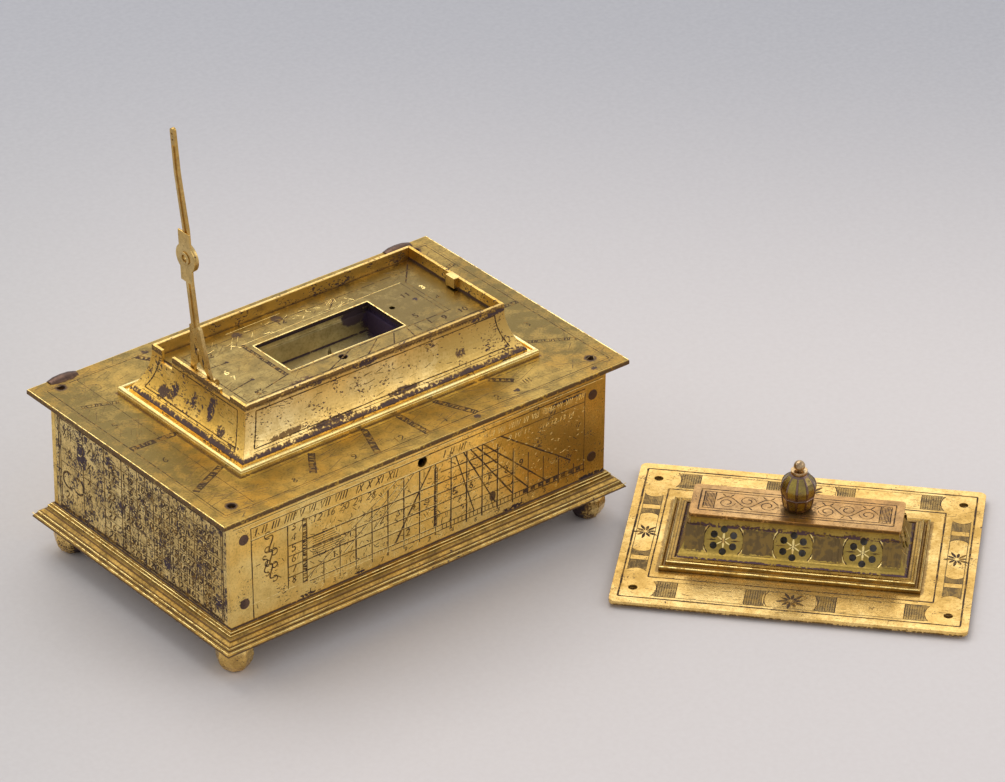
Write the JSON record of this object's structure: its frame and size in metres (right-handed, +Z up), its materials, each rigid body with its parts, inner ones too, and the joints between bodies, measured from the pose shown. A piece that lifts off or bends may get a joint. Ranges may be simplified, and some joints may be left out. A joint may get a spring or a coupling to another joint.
{
  "type": "horizontal sundial",
  "caption": "Box-shaped table sundial with a folding gnomon in a shallow tray, a sunk compass well, ball feet, and a separate pierced cover with a finial.",
  "frame": {"origin": "centre of the box in plan, on the surface that the feet stand on", "axes": "+X along the box from the gnomon's end to the catch's end, +Y from the front face to the back, +Z up"},
  "size_m": [0.2091, 0.1831, 0.1338],
  "materials": {
    "gilt_bright": "worn gilding, engraved, with dark specks",
    "gilt_olive": "rubbed gilding with fine scratches, olive",
    "gilt_pale": "pale burnished gilding, engraved",
    "gilt_tarnished": "heavily tarnished gilding",
    "dark_bronze": "dark patina"
  },
  "bodies": {
    "box": {"base_plate": "gilt_bright", "base_moulding_front": "gilt_bright", "base_moulding_back": "gilt_bright", "base_moulding_left": "gilt_bright", "base_moulding_right": "gilt_bright", "foot_front_left": "gilt_bright", "foot_front_right": "gilt_bright", "foot_back_left": "gilt_bright", "foot_back_right": "gilt_bright", "front_panel": "gilt_bright", "back_panel": "gilt_olive", "left_panel": "gilt_tarnished", "right_panel": "gilt_tarnished", "corner_posts": "gilt_olive", "front_pins": "dark_bronze", "back_pins": "dark_bronze", "cornice": "gilt_bright", "top_plate": "gilt_olive", "lid_knuckles": "dark_bronze", "tray_wall_front": "gilt_pale", "tray_wall_back": "gilt_pale", "tray_wall_left": "gilt_bright", "tray_wall_right": "gilt_bright", "tray_bead_front": "gilt_bright", "tray_bead_back": "gilt_bright", "tray_bead_left": "gilt_bright", "tray_bead_right": "gilt_bright", "tray_floor": "gilt_olive", "compass_box": "gilt_tarnished", "compass_pivot": "gilt_bright", "catch_block": "gilt_bright", "hinge_lug": "gilt_bright"},
    "gnomon": {"gnomon_blade": "gilt_bright", "sighting_disc": "gilt_bright", "disc_eyelet": "gilt_bright", "hinge_pin": "gilt_olive"},
    "cover": {"cover_plate": "gilt_pale", "cover_lip": "gilt_olive", "cover_moulding_front": "gilt_pale", "cover_moulding_back": "gilt_pale", "cover_moulding_left": "gilt_pale", "cover_moulding_right": "gilt_pale", "casket_front": "gilt_olive", "casket_back": "gilt_olive", "casket_left": "gilt_olive", "casket_right": "gilt_olive", "casket_top": "gilt_pale", "finial": "dark_bronze", "finial_bead": "dark_bronze", "finial_stud": "dark_bronze", "finial_nut": "dark_bronze"}
  },
  "joints": [
    {"name": "gnomon_hinge", "type": "hinge", "parent": "box", "child": "gnomon", "pos_m": [-0.03871, 0.0008, 0.06075], "axis": [0, 1, 0], "range_deg": [0, 96.9]},
    {"name": "cover_lift", "type": "slide", "parent": "box", "child": "cover", "axis": [0, 0, 1], "range_m": [0, 0.07]}
  ]
}
